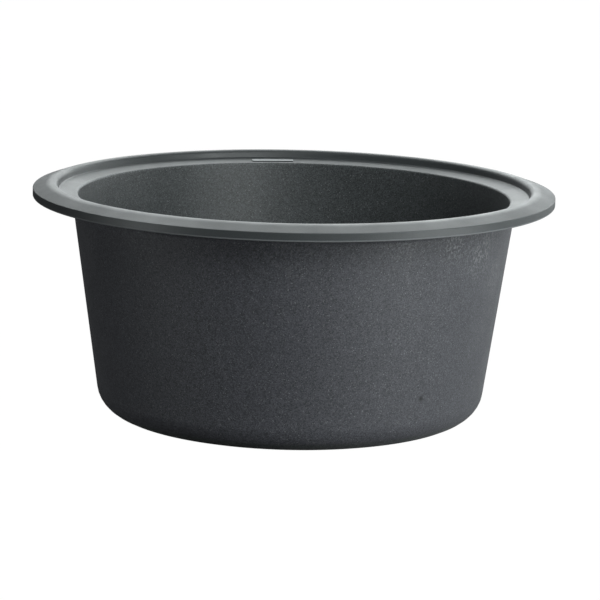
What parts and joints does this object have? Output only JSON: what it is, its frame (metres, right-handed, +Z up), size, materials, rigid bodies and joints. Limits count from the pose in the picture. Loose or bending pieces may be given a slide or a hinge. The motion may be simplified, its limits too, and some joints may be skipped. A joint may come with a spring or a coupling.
{
  "type": "undermount kitchen sink",
  "caption": "Round cast composite undermount sink bowl with a stepped rim, a lift-out basket strainer and a low waste body with a rear outlet.",
  "frame": {"origin": "on the bowl's vertical axis, in the plane of the rim's crest, which meets the underside of the worktop", "axes": "+Z up, +Y towards the waste outlet at the back, +X to the right seen from the front"},
  "size_m": [0.432, 0.432, 0.25],
  "materials": {
    "composite": "fine matt, speckled dark grey",
    "brass": "turned",
    "stainless": "satin pressed sheet",
    "polished_steel": "polished",
    "grey_seal": "soft matt",
    "black_rubber": "matt",
    "black_plastic": "fine moulded texture",
    "white_plastic": "smooth"
  },
  "bodies": {
    "sink": {"sink_bowl": "composite", "clip_insert_1": "brass", "clip_insert_2": "brass", "clip_insert_3": "brass", "clip_insert_4": "brass", "strainer_cup": "stainless", "flange_seal": "grey_seal", "waste_gasket": "black_rubber", "waste_body": "black_plastic", "thread_insert": "brass", "centre_screw": "stainless", "screw_washer": "stainless", "stem_clip": "stainless", "outlet_nut": "black_plastic", "outlet_slip_ring": "white_plastic", "outlet_washer": "black_rubber"},
    "basket": {"strainer_basket": "stainless", "basket_seal": "black_rubber", "basket_stem": "stainless", "stem_nut": "stainless", "basket_knob": "polished_steel"}
  },
  "joints": [
    {"name": "basket_lift", "type": "slide", "parent": "sink", "child": "basket", "axis": [0, 0, 1], "range_m": [0, 0.24]}
  ]
}
